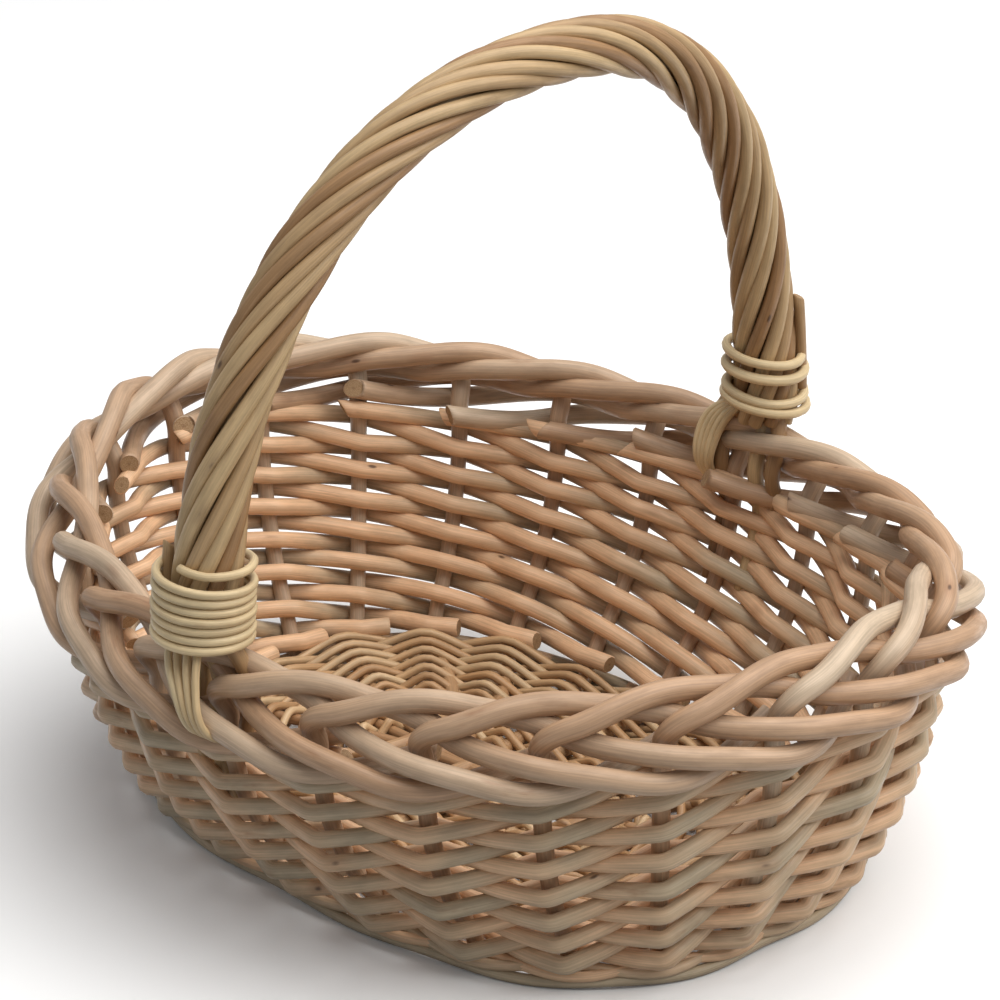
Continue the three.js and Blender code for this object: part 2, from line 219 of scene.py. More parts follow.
def top_at(turn):
    """The top of the siding, a little higher at the oval's ends."""
    p = rim_line.at(turn)
    return SIDING_TOP + RIM_LIFT * ((p.x / RIM_OVAL[0]) ** 2 - (p.y / RIM_OVAL[1]) ** 2)


def wall(turn, rise, out):
    """A point of the siding: how far round, how far up from foot to top, how far out."""
    low = foot_line.at(below(turn))
    high = rim_line.at(turn)
    span = top_at(turn) - FOOT_HEIGHT
    flare = rise * (2 - rise)
    facing = foot_line.out(below(turn)).lerp(rim_line.out(turn), flare).normalized()
    lean = (high - low).dot(facing) * 2 * (1 - rise) / span
    normal = (facing - UP * lean).normalized()
    return low.lerp(high, flare) + UP * (FOOT_HEIGHT + span * rise) + normal * out


def smooth_path(points, gap):
    """Points about gap apart on a natural cubic spline through the given ones."""
    p = np.array(points, float)
    chord = np.linalg.norm(np.diff(p, axis=0), axis=1)
    knots = np.concatenate([[0], np.cumsum(chord)])
    n = len(p)
    left, right = np.eye(n), np.zeros_like(p)
    for i in range(1, n - 1):
        left[i, i - 1 : i + 2] = chord[i - 1], 2 * (chord[i - 1] + chord[i]), chord[i]
        right[i] = 6 * ((p[i + 1] - p[i]) / chord[i] - (p[i] - p[i - 1]) / chord[i - 1])
    bend = np.linalg.solve(left, right)
    made = []
    for t in np.linspace(0, knots[-1], max(2, round(knots[-1] / gap) + 1)):
        i = min(max(int(np.searchsorted(knots, t)) - 1, 0), n - 2)
        a, b, h = knots[i + 1] - t, t - knots[i], chord[i]
        q = (bend[i] * a**3 + bend[i + 1] * b**3) / (6 * h)
        q = q + (p[i] / h - bend[i] * h / 6) * a + (p[i + 1] / h - bend[i + 1] * h / 6) * b
        made.append(Vector(q))
    return made


# Rods. Each takes its pattern from its own place along one long straight rod, in metres.
ROD_SPACING = 1.7


class Rods:
    """A piece made of willow rods. Each rod remembers its own straight length and its tone."""

    def __init__(self, name, seed):
        self.name = name
        self.bm = bmesh.new()
        self.random = random.Random(seed)
        self.count = 0

    def lay(self, path, thick, sides=8, tone=None, slant=(0, 0)):
        """One rod along a path. thick gives its diameter at each share of its length, and tone
        its colour's place between pale and warm, as one number or for each share."""
        own = self.random.random()
        tone = own if tone is None else tone
        offset = ROD_SPACING * self.count + self.random.random()
        turned = self.random.uniform(0, 2 * math.pi)
        self.count += 1
        rod = bmesh.new()
        straight = rod.verts.layers.float_vector.new("straight")
        shade = rod.verts.layers.float.new("tone")
        stations = self.rings_along(path, thick, turned)
        length = stations[-1][-1]
        ring = bmesh.ops.create_circle(rod, cap_ends=True, segments=sides, radius=1)["verts"]
        for v in ring:
            v[straight] = (v.co.x, v.co.y, 0)
        first = rod.faces[:][0]
        face = first
        before = Matrix.Identity(4)
        for i, (point, ahead, side, radius, distance) in enumerate(stations):
            lean = slant[0] if i < 2 else slant[1] if i > len(stations) - 3 else 0
            across = (side + ahead * lean) * radius
            other = ahead.cross(side)
            ways = [(across[k] * MM, other[k] * radius * MM, ahead[k] * MM, 0) for k in range(3)]
            now = Matrix.Translation(point * MM) @ Matrix(ways + [(0, 0, 0, 1)])
            if i:
                grown = bmesh.ops.extrude_face_region(rod, geom=[face])["geom"]
                if face is not first:
                    bmesh.ops.delete(rod, geom=[face], context="FACES_ONLY")
                ring = [g for g in grown if isinstance(g, bmesh.types.BMVert)]
                face = next(g for g in grown if isinstance(g, bmesh.types.BMFace))
            bmesh.ops.transform(rod, matrix=now @ before.inverted(), verts=ring)
            before = now
            for v in ring:
                unit = Vector(v[straight].xy).normalized() * radius * MM
                v[straight] = (unit.x, unit.y, offset + distance * MM)
                v[shade] = tone(distance / length) if callable(tone) else tone
        bmesh.ops.recalc_face_normals(rod, faces=rod.faces[:])
        for f in rod.faces:
            f.smooth = len(f.verts) == 4
            if not f.smooth:
                f.material_index = 1
                for e in f.edges:
                    e.smooth = False
        mesh = bpy.data.meshes.new("rod")
        rod.to_mesh(mesh)
        rod.free()
        self.bm.from_mesh(mesh)
        bpy.data.meshes.remove(mesh)

    def rings_along(self, path, thick, turned):
        """A rod's point, way ahead, way to the side, radius and distance at each of its rings."""
        ahead = (path[1] - path[0]).normalized()
        side = Matrix.Rotation(turned, 3, ahead) @ ahead.orthogonal().normalized()
        run = [0.0]
        for a, b in zip(path, path[1:]):
            run.append(run[-1] + (b - a).length)
        made = []
        last = len(path) - 1
        for i, point in enumerate(path):
            ahead = (path[min(i + 1, last)] - path[max(i - 1, 0)]).normalized()
            side = (side - ahead * side.dot(ahead)).normalized()
            made.append((point, ahead, side, thick(run[i] / run[-1]) / 2, run[i]))
        return self.ease(made[0], -1) + made[1:-1] + self.ease(made[-1], 1)

    @staticmethod
    def ease(station, way):
        """The end of a rod with its cut edge taken off."""
        point, ahead, side, radius, distance = station
        soft = min(0.5, radius / 4)
        inner = (point - ahead * way * soft, ahead, side, radius, distance - way * soft)
        outer = (point, ahead, side, radius - soft, distance)
        return [inner, outer] if way > 0 else [outer, inner]

    def finish(self, slot, materials, *nodes):
        mesh = bpy.data.meshes.new(self.name)
        self.bm.to_mesh(mesh)
        self.bm.free()
        piece = bpy.data.objects.new(self.name, mesh)
        bpy.context.scene.collection.objects.link(piece)
        for m in materials:
            mesh.materials.append(m)
        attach(piece, "root")
        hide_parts(*nodes)
        return piece


def taper(start, end):
    return lambda share: start + (end - start) * share


# Materials
def group_socket(group, name, kind, way, value=None):
    made = group.interface.new_socket(name=name, in_out=way, socket_type=kind)
    if value is not None:
        made.default_value = value


class Wiring:
    """Nodes of one tree, made and joined in short calls."""

    def __init__(self, tree):
        self.tree = tree

    def node(self, kind, **settings):
        made = self.tree.nodes.new(kind)
        for name, value in settings.items():
            setattr(made, name, value)
        return made

    def join(self, a, b):
        self.tree.links.new(a, b)

    def feed(self, socket, value):
        if isinstance(value, bpy.types.NodeSocket):
            self.join(value, socket)
        else:
            socket.default_value = value

    def math(self, operation, a, b=0.5, c=0.5):
        made = self.node("ShaderNodeMath", operation=operation)
        for socket, value in zip(made.inputs, (a, b, c)):
            self.feed(socket, value)
        return made.outputs[0]

    def noise(self, vector, scale, detail=2.0, rough=0.5):
        made = self.node("ShaderNodeTexNoise")
        self.feed(made.inputs["Vector"], vector)
        self.feed(made.inputs["Scale"], scale)
        self.feed(made.inputs["Detail"], detail)
        self.feed(made.inputs["Roughness"], rough)
        return made.outputs["Fac"]

    def stretch(self, vector, scale):
        made = self.node("ShaderNodeMapping")
        self.feed(made.inputs["Vector"], vector)
        self.feed(made.inputs["Scale"], scale)
        return made.outputs["Vector"]

    def ramp(self, value, low, high, to_low=0.0, to_high=1.0):
        made = self.node("ShaderNodeMapRange", interpolation_type="SMOOTHSTEP")
        for name, v in (("Value", value), ("From Min", low), ("From Max", high)):
            self.feed(made.inputs[name], v)
        self.feed(made.inputs["To Min"], to_low)
        self.feed(made.inputs["To Max"], to_high)
        return made.outputs["Result"]

    def blend(self, share, a, b, how="MIX"):
        made = self.node("ShaderNodeMix", data_type="RGBA", blend_type=how)
        self.feed(made.inputs["Factor"], share)
        self.feed(made.inputs["A"], a)
        self.feed(made.inputs["B"], b)
        return made.outputs["Result"]

    def shade(self, value):
        made = self.node("ShaderNodeCombineColor")
        for socket in made.inputs:
            self.feed(socket, value)
        return made.outputs[0]


def rgb(red, green, blue):
    """A colour as it is read off a screen, made linear."""
    return tuple(((v / 255 + 0.055) / 1.055) ** 2.4 for v in (red, green, blue)) + (1.0,)


def willow_group():
    """Peeled willow: drifting tone, fine lengthwise streaks, stains, knots and a satin skin."""
    group = bpy.data.node_groups.new("Peeled willow", "ShaderNodeTree")
    group_socket(group, "Pale", "NodeSocketColor", "INPUT", (0.6, 0.4, 0.2, 1))
    group_socket(group, "Warm", "NodeSocketColor", "INPUT", (0.5, 0.3, 0.15, 1))
    group_socket(group, "Stain", "NodeSocketColor", "INPUT", (0.2, 0.1, 0.05, 1))
    group_socket(group, "Knots", "NodeSocketFloat", "INPUT", 1.0)
    group_socket(group, "Colour", "NodeSocketColor", "OUTPUT")
    group_socket(group, "Roughness", "NodeSocketFloat", "OUTPUT")
    group_socket(group, "Height", "NodeSocketFloat", "OUTPUT")
    w = Wiring(group)
    given = w.node("NodeGroupInput").outputs
    straight = w.node("ShaderNodeAttribute", attribute_name="straight").outputs["Vector"]
    tone = w.node("ShaderNodeAttribute", attribute_name="tone").outputs["Fac"]
    drift = w.noise(w.stretch(straight, (60, 60, 9)), 1.0, 3.0)
    mottle = w.noise(w.stretch(straight, (260, 260, 60)), 1.0, 4.0, 0.6)
    streak = w.noise(w.stretch(straight, (1500, 1500, 22)), 1.0, 3.0, 0.6)
    warm = w.math("ADD", w.math("MULTIPLY", tone, 0.75), w.math("MULTIPLY", drift, 0.9))
    colour = w.blend(w.ramp(warm, 0.35, 1.15), given["Pale"], given["Warm"])
    grain = w.ramp(streak, 0.3, 0.7, 0.84, 1.08)
    spots = w.ramp(mottle, 0.35, 0.7, 1.04, 0.86)
    colour = w.blend(1.0, colour, w.shade(w.math("MULTIPLY", grain, spots)), "MULTIPLY")
    stain = w.ramp(w.noise(w.stretch(straight, (110, 110, 26)), 1.0, 4.0, 0.65), 0.6, 0.78)
    colour = w.blend(w.math("MULTIPLY", stain, 0.5), colour, given["Stain"])
    cells = w.node("ShaderNodeTexVoronoi")
    w.feed(cells.inputs["Vector"], w.stretch(straight, (90, 90, 36)))
    w.feed(cells.inputs["Scale"], 1.0)
    chosen = w.node("ShaderNodeSeparateColor")
    w.join(cells.outputs["Color"], chosen.inputs[0])
    keep = w.math("GREATER_THAN", chosen.outputs[0], 0.72)
    knot = w.math("MULTIPLY", w.ramp(cells.outputs["Distance"], 0.1, 0.04), keep)
    halo = w.math("MULTIPLY", w.ramp(cells.outputs["Distance"], 0.3, 0.08), keep)
    colour = w.blend(w.math("MULTIPLY", halo, 0.25), colour, given["Stain"])
    colour = w.blend(
        w.math("MULTIPLY", w.math("MULTIPLY", knot, given["Knots"]), 0.85),
        colour,
        rgb(70, 45, 28),
    )
    out = w.node("NodeGroupOutput").inputs
    w.join(colour, out["Colour"])
    w.join(w.ramp(mottle, 0.3, 0.7, 0.36, 0.56), out["Roughness"])
    height = w.math("ADD", w.math("MULTIPLY", streak, 0.5), w.math("MULTIPLY", mottle, 0.5))
    w.join(w.math("ADD", height, w.math("MULTIPLY", knot, 0.8)), out["Height"])
    return group


peeled = willow_group()


def new_material(name):
    made = bpy.data.materials.new(name)
    made.use_nodes = True
    made.node_tree.nodes.clear()
    w = Wiring(made.node_tree)
    shader = w.node("ShaderNodeBsdfPrincipled")
    w.join(shader.outputs[0], w.node("ShaderNodeOutputMaterial").inputs["Surface"])
    return made, w, shader


def willow(name, pale, warm, stain, knots=1.0, gloss=0.45):
    made, w, shader = new_material(name)
    skin = w.node("ShaderNodeGroup", node_tree=peeled)
    for socket, value in (("Pale", pale), ("Warm", warm), ("Stain", stain), ("Knots", knots)):
        skin.inputs[socket].default_value = value
    bump = w.node("ShaderNodeBump")
    bump.inputs["Strength"].default_value = 0.35
    bump.inputs["Distance"].default_value = 0.0006
    w.join(skin.outputs["Height"], bump.inputs["Height"])
    w.join(skin.outputs["Colour"], shader.inputs["Base Color"])
    w.join(skin.outputs["Roughness"], shader.inputs["Roughness"])
    w.join(bump.outputs["Normal"], shader.inputs["Normal"])
    shader.inputs["Specular IOR Level"].default_value = gloss
    return made


def cut_willow():
    """The cut end of a rod: a dark pith, pale fibrous wood and a darker skin."""
    made, w, shader = new_material("Cut willow")
    straight = w.node("ShaderNodeAttribute", attribute_name="straight").outputs["Vector"]
    parts = w.node("ShaderNodeSeparateXYZ")
    w.join(straight, parts.inputs[0])
    x, y = parts.outputs[0], parts.outputs[1]
    squares = w.math("ADD", w.math("MULTIPLY", x, x), w.math("MULTIPLY", y, y))
    radius = w.math("MULTIPLY", w.math("SQRT", squares), 1000.0)
    pith = w.ramp(radius, 0.9, 0.4)
    skin = w.ramp(radius, 2.9, 4.2)
    fibre = w.noise(w.stretch(straight, (2500, 2500, 300)), 1.0, 3.0)
    wood = w.blend(w.ramp(fibre, 0.3, 0.7), rgb(176, 146, 110), rgb(144, 112, 78))
    wood = w.blend(w.math("MULTIPLY", skin, 0.4), wood, rgb(132, 98, 66))
    wood = w.blend(w.math("MULTIPLY", pith, 0.4), wood, rgb(110, 76, 48))
    w.join(wood, shader.inputs["Base Color"])
    w.join(w.ramp(fibre, 0.3, 0.7, 0.65, 0.85), shader.inputs["Roughness"])
    bump = w.node("ShaderNodeBump")
    bump.inputs["Strength"].default_value = 0.4
    bump.inputs["Distance"].default_value = 0.0005
    w.join(fibre, bump.inputs["Height"])
    w.join(bump.outputs["Normal"], shader.inputs["Normal"])
    return made


cut = cut_willow()
stain = rgb(140, 88, 52)
border_willow = willow("Border willow", rgb(202, 180, 154), rgb(184, 148, 116), stain, gloss=0.5)
# Painted light and shade: the greyer, darker pale colour is the shaded outside passes and the
# brighter warm colour the lit inside ones, besides each rod's own random tone.
side_willow = willow("Weaver willow", rgb(184, 166, 138), rgb(232, 190, 150), stain)
base_willow = willow("Base willow", rgb(206, 176, 136), rgb(184, 144, 102), stain, 0.4)
stick_willow = willow("Stick willow", rgb(190, 156, 118), rgb(166, 126, 88), stain)
handle_willow = willow("Handle willow", rgb(196, 168, 126), rgb(156, 120, 82), rgb(98, 66, 42))
binding_willow = willow("Binding willow", rgb(226, 204, 162), rgb(206, 178, 134), stain, 0.3)


# Stakes and border
def border_point(index, along, out, up):
    turn = (index + STAKE_SHIFT + along) / STAKE_COUNT
    p = rim_line.at(turn)
    lift = BORDER_ENDS * (p.x / RIM_OVAL[0]) ** 2 - BORDER_DROP * max(0, -tilt_at(turn))
    height = top_at(turn) + lift + BARE_STAKE + up * BORDER_THICK
    return p + rim_line.out(turn) * out * BORDER_THICK + UP * height


def stake_path(index):
    turn = (index + STAKE_SHIFT) / STAKE_COUNT
    low = below(turn)
    foot, out = foot_line.at(low), foot_line.out(low)
    bend = FOOT_HEIGHT - TAIL_HEIGHT
    knee = bend * math.sqrt(0.5)
    points = [
        foot - out * (BASE_INSET + TAIL_LENGTH) + UP * TAIL_HEIGHT,
        foot - out * (BASE_INSET + TAIL_LENGTH / 2) + UP * TAIL_HEIGHT,
        foot - out * bend * 1.3 + UP * TAIL_HEIGHT,
        foot - out * (bend - knee) + UP * (FOOT_HEIGHT - knee),
    ]
    points += [wall(turn, rise, 0) for rise in (0.06, 0.25, 0.45, 0.65, 0.85, 0.95)]
    stub_rise, stub_inward = STUBS.get(index, PLAIN_STUB)
    for along, out, up in BORDER_ROUTE:
        past = max(0, along - 4)
        up += stub_rise * past
        out -= stub_inward * min(1, 2.5 * past)
        points.append(border_point(index, along, out, up))
    return smooth_path(points, 2)


def stake_thick(share):
    return float(np.interp(share, STAKE_SHARES, STAKE_TAPER))


stakes = Rods("stake_rods", 11)
for i in range(STAKE_COUNT):
    cut_slant = (0, stakes.random.uniform(0.3, 0.8))
    stakes.lay(stake_path(i), stake_thick, sides=14, slant=cut_slant)
stakes.finish(
    "stake",
    [border_willow, cut],
    *[f"stake_{i + 1:02d}" for i in range(STAKE_COUNT)],
    "border",
)

# Siding. Its height at the handle's feet is the measure of how far up the wall a rod lies.
WALL_AT_HANDLE = SIDING_TOP - RIM_LIFT - FOOT_HEIGHT


def kinked(step, soft):
    """+1 outside the odd stakes and -1 inside the even ones, straight between, eased at the turns."""
    nearest = math.floor(step + 0.5)
    near = abs(step - nearest)
    eased = near * near / (2 * soft) if near < soft else near - soft / 2
    size = 1 - eased / (0.5 - soft / 2)
    return size if nearest % 2 else -size


def weaver_height(step):
    """Up from each inside pass to the outside one and on to the next inside."""
    pair, part = divmod(min(max(step, 0), WEAVER_STEPS), 2)
    inside = WEAVER_FIRST + WEAVER_CLIMB * pair + WEAVER_LAST * max(0, step - WEAVER_STEPS + 1)
    outside = inside + WEAVER_STEP
    if part < 1:
        return inside + (outside - inside) * part
    return outside + (inside + WEAVER_CLIMB - outside) * (part - 1)


def weaver_tilt(turn, rise):
    """The rows lie a little higher at the back and the ends, and lower and closer at the front."""
    tilt = tilt_at(turn)
    ends = (rim_line.at(turn).x / RIM_OVAL[0]) ** 8
    return WEAVER_TILT * tilt + (WEAVER_ENDS * ends - WEAVER_DROP * max(0, -tilt)) * rise


def weaver_thick(step):
    """A thick butt up to the first outside pass, then a long even rod."""
    butt = 1 - smoothstep(min(max(step - 0.1, 0), 1))
    rod = WEAVER_THICK + (WEAVER_TIP - WEAVER_THICK) * step / WEAVER_STEPS
    return rod + (WEAVER_BUTT - rod) * butt


# Where a weaver has points between two stakes, close together at its bends
KINK_MARKS = (0, 0.04, 0.09, 0.22, 0.36, 0.5, 0.64, 0.78, 0.91, 0.96)

weavers = Rods("side_weavers", 23)
for i in range(STAKE_COUNT):
    start = -WEAVER_BEFORE + weavers.random.uniform(-0.05, 0.05)
    end = WEAVER_STEPS + WEAVER_PAST + weavers.random.uniform(-0.05, 0.08)
    wobble = [weavers.random.uniform(-0.5, 0.5) for _ in range(WEAVER_STEPS + 3)]
    full = weavers.random.uniform(0.95, 1.04)
    marks = [k + m for k in range(-1, WEAVER_STEPS + 1) for m in KINK_MARKS]
    path = []
    for step in [start] + [m for m in marks if start + 0.05 < m < end - 0.05] + [end]:
        wave = kinked(step, WEAVER_SOFT) if 0 < step < WEAVER_STEPS else -1
        out = wave * (STAKE_THICK + weaver_thick(step)) / 2
        height = weaver_height(step) + float(np.interp(step, range(-1, WEAVER_STEPS + 2), wobble))
        turn = (i + STAKE_SHIFT + step) / STAKE_COUNT
        rise = (height - FOOT_HEIGHT) / WALL_AT_HANDLE
        path.append(wall(turn, rise, out) + UP * weaver_tilt(turn, rise))

    def thick(share, i=i, a=start, b=end, full=full):
        step = a + (b - a) * share
        turn = (i + STAKE_SHIFT + step) / STAKE_COUNT
        return weaver_thick(step) * full * (1 + WEAVER_SWELL * tilt_at(turn))

    # Painted light and shade: outside passes lean to the greyer, darker pale colour and inside passes
    # to the brighter warm one, about each rod's own random tone.
    def tone(share, a=start, b=end, own=weavers.random.uniform(0.25, 0.75)):
        return own - PAINTED_SHADE_SWING * kinked(a + (b - a) * share, PAINTED_SHADE_SOFT)

    slants = (weavers.random.uniform(-0.2, 0.2), weavers.random.uniform(0.4, 1.0))
    weavers.lay(path, thick, sides=10, tone=tone, slant=slants)
weavers.finish("weave", [side_willow, cut], "side_weave")

# Foot. Each strand's way out from the stakes, height, swing out and in, swing down and up, and how
# far its swings are shifted, in stake spacings. All have their ends at FOOT_START.
FOOT_ROD = 4.8
FOOT_START = 12.3
FOOT_STRANDS = ((3.4, 2.9, 0.5, 0.5, 0.5), (2.8, 7.6, 2.2, 1.4, 0), (2.8, 7.6, 2.2, 1.4, 1))


def foot_strand(out, height, swing, lift, phase):
    """A thin rod right round the foot that swings out and down once in every two stakes."""
    points = []
    for step in np.linspace(FOOT_START, STAKE_COUNT + FOOT_START, STAKE_COUNT * 8):
        turn = (step + STAKE_SHIFT) / STAKE_COUNT
        wave = kinked(step + phase, 0.3)
        low = below(turn)
        p = foot_line.at(low) + foot_line.out(low) * (out + swing * wave)
        points.append(p + UP * (height - lift * wave))
    return points


foot = Rods("foot_strands", 31)
for strand in FOOT_STRANDS:
    foot.lay(foot_strand(*strand), taper(FOOT_ROD, FOOT_ROD * 0.9))
foot.finish("weave", [side_willow, cut], "foot_ring")

# Base
CORE_HALF_LENGTH = 3 * CROSS_STICK_SPACING + CORE_MARGIN
CORE_HALF_WIDTH = LONG_STICK_SPACING + CORE_MARGIN


def spoke_core(spoke):
    """Where a spoke leaves the core. Spokes 0 to 3 and 17 to 19 lie on the -Y side."""
    place = spoke % SPOKE_COUNT
    if place <= 3 or place >= 17:
        x = place if place <= 3 else place - SPOKE_COUNT
        return Vector((x * CROSS_STICK_SPACING, -CORE_HALF_WIDTH, 0))
    if place <= 6:
        return Vector((CORE_HALF_LENGTH, (place - 5) * LONG_STICK_SPACING, 0))
    if place <= 13:
        return Vector(((10 - place) * CROSS_STICK_SPACING, CORE_HALF_WIDTH, 0))
    return Vector((-CORE_HALF_LENGTH, (15 - place) * LONG_STICK_SPACING, 0))


def spoke_edge(spoke):
    turn = (spoke / SPOKE_COUNT) % 1
    return foot_line.at(turn) - foot_line.out(turn) * (BASE_INSET + 1)


def base_point(spoke, share):
    """A point of the base: which spoke it is at, and its share of the way from core to edge."""
    low = math.floor(spoke)
    part = spoke - low
    eased = smoothstep(part) * 0.35 + part * 0.65
    core = spoke_core(low).lerp(spoke_core(low + 1), eased)
    return core.lerp(spoke_edge(spoke), share)


sticks = Rods("base_sticks", 41)
for k in range(-3, 4):
    ends = [base_point(k, 1), base_point(k, 0), base_point(10 - k, 0), base_point(10 - k, 1)]
    path = smooth_path([p + UP * STICK_HEIGHT for p in ends], 8)
    sticks.lay(path, taper(CROSS_STICK_THICK, CROSS_STICK_THICK * 0.86), sides=10)
for k in range(-1, 2):
    ends = [base_point(15 - k, 1), base_point(15 - k, 0), base_point(5 + k, 0), base_point(5 + k, 1)]
    path = smooth_path([p + UP * STICK_HEIGHT for p in ends], 8)
    sticks.lay(path, taper(LONG_STICK_THICK, LONG_STICK_THICK * 0.9), sides=10)
sticks.finish(
    "base",
    [stick_willow, cut],
    *[f"base_cross_stick_{i + 1:02d}" for i in range(7)],
    *[f"base_long_stick_{i + 1:02d}" for i in range(3)],
)


def spoke_thick(spoke):
    place = round(spoke) % 10
    return LONG_STICK_THICK if place in (4, 5, 6) else CROSS_STICK_THICK * 0.93


# Two rods chase each other round the base, each joined from shorter ones
base = Rods("base_weavers", 53)
for phase in (0, 1):
    steps = BASE_ROWS // 2 * SPOKE_COUNT
    cuts = [0]
    while cuts[-1] < steps:
        cuts.append(min(cuts[-1] + 2 * base.random.randint(10, 16), steps))
    for a, b in zip(cuts, cuts[1:]):
        points = []
        for step in np.arange(a + phase + 0.06, b + phase - 0.02, 1 / 8):
            share = (2 * step / SPOKE_COUNT + phase + 0.35) / (BASE_ROWS + 0.6)
            wave = kinked(step + 1 + phase, 0.15)
            lift = (spoke_thick(step) + BASE_WEAVER_THICK) / 2 + 0.15
            points.append(base_point(step, share) + UP * (STICK_HEIGHT - wave * lift))
        base.lay(points, taper(BASE_WEAVER_THICK * 1.06, BASE_WEAVER_THICK * 0.94), sides=6)
base.finish("base", [base_willow, cut], "base_weave")


# Handle
ARCH_MARKS = 1000


def arch_point(t):
    angle = math.pi * t
    power = 2 / HANDLE_SQUARENESS
    rise = max(math.sin(angle), 0) ** power
    side = -math.copysign(abs(math.cos(angle)) ** power, math.cos(angle))
    return Vector(
        (
            HANDLE_ALONG + HANDLE_LEAN * rise**HANDLE_LATE_LEAN,
            HANDLE_HALF_SPAN * side,
            RIM_BASE + HANDLE_RISE * rise,
        )
    )


arch_marks = [arch_point(i / ARCH_MARKS) for i in range(ARCH_MARKS + 1)]
arch_steps = [(b - a).length for a, b in zip(arch_marks, arch_marks[1:])]
arch_run = np.concatenate([[0], np.cumsum(arch_steps)])
arch_length = float(arch_run[-1])


def arch_frame(distance):
    """The arch's middle, its way along, and the two ways square to it, at a distance along it."""
    def at(d):
        return arch_point(float(np.interp(d, arch_run, np.linspace(0, 1, ARCH_MARKS + 1))))

    centre = at(distance)
    along = (at(min(distance + 1, arch_length)) - at(max(distance - 1, 0))).normalized()
    across = (Vector((1, 0, 0)) - along * along.x).normalized()
    return centre, along, across, across.cross(along)


def round_arch(distance, angle, radius):
    centre, along, across, outside = arch_frame(distance)
    return centre + across * radius * math.cos(angle) + outside * radius * math.sin(angle)


def rope_size(share):
    """The rope is fuller at its feet than at the top of the bow."""
    return 0.88 + 0.16 * (2 * share - 1) ** 2


rope = Rods("handle_rope", 61)
rope_length = arch_length - 2 * ROPE_START
for i in range(ROPE_RODS):
    size = rope.random.uniform(0.94, 1.08)
    drift = rope.random.uniform(-0.1, 0.1)
    path = []
    for d in np.linspace(ROPE_START, arch_length - ROPE_START, 150):
        share = (d - ROPE_START) / rope_length
        angle = 2 * math.pi * (i / ROPE_RODS - ROPE_TURNS * share)
        angle += drift * math.sin(3 * math.pi * share + i)
        lift = 0.25 * math.sin(11 * share + 2.4 * i)
        path.append(round_arch(d, angle, (ROPE_RADIUS + lift) * rope_size(share)))
    rope.lay(path, lambda share, size=size: ROPE_ROD_THICK * size * rope_size(share), sides=12)
rope.finish("handle", [handle_willow, cut], *[f"handle_rod_{i + 1:02d}" for i in range(ROPE_RODS)])

# Bindings. Their turns are counted from the back, and each is at its front at its half. The climb is
# how far along the arch each turn lies. The left binding lies close, climbs in its last turn and ends
# tucked in, and the right one is loose and slants.
TURN_POINTS = 30
LEFT_FRONT = math.radians(44)
RIGHT_FRONT = math.radians(-44)
LEFT_THICK = 3.7
RIGHT_THICK = 4.1
LEFT_END = 7.63
RIGHT_END = 4
LEFT_TURNS = (0, 0.5, 6.5, 6.8, 7.25, 7.5, 8)
LEFT_CLIMB = (12.6, 14, 36.2, 38, 44, 42, 44)
RIGHT_TURNS = (0, 0.5, 1.5, 2.5, 3.5, 4)
RIGHT_CLIMB = (18, 20.3, 23.9, 35.6, 42.4, 44)


def winding(end):
    """The turns of a binding at each of its points, up to its end."""
    return [i / TURN_POINTS for i in range(round(end * TURN_POINTS) + 1)]


def left_binding():
    points = []
    for turn in winding(LEFT_END):
        angle = 2 * math.pi * (turn - 0.5) + LEFT_FRONT
        climb = float(np.interp(turn, LEFT_TURNS, LEFT_CLIMB))
        bulge = 17 + 2.4 * (0.5 + 0.5 * math.cos(angle - 2.6)) + 0.3 * math.sin(2.3 * turn)
        radius = bulge - 16 * max(0, turn - 7.35) - 1.2 * max(0, 0.5 - turn)
        points.append(round_arch(climb, angle, radius))
    return points


def right_binding():
    points = []
    for turn in winding(RIGHT_END):
        angle = 2 * math.pi * (turn - 0.5) + RIGHT_FRONT
        climb = float(np.interp(turn, RIGHT_TURNS, RIGHT_CLIMB))
        slant = -4.2 * math.cos(angle - 0.25 * math.pi)
        radius = 17.2 - 0.4 * turn + 0.3 * math.sin(2.9 * turn) - 4 * max(0, turn - 3.65)
        points.append(round_arch(arch_length - climb - slant, angle, radius))
    return points


def right_thick(share):
    """Even, with one thicker place past its middle."""
    return RIGHT_THICK + 0.5 * math.exp(-(((share - 0.62) / 0.1) ** 2))


BINDING_TONE = 0.3
binding = Rods("binding_left", 71)
binding.lay(left_binding(), taper(LEFT_THICK, LEFT_THICK * 0.95), sides=10, tone=BINDING_TONE)
binding.finish("binding", [binding_willow, cut], "handle_binding_left")
binding = Rods("binding_right", 72)
binding.lay(right_binding(), right_thick, sides=10, tone=BINDING_TONE)
binding.finish("binding", [binding_willow, cut], "handle_binding_right")


def rim_point(x, side, out, height):
    """A point out from the rim line at the handle's left foot (side -1) or right foot (side 1)."""
    y = RIM_OVAL[1] * math.sqrt(1 - (x / RIM_OVAL[0]) ** 2)
    return Vector((x, side * (y + out), height))


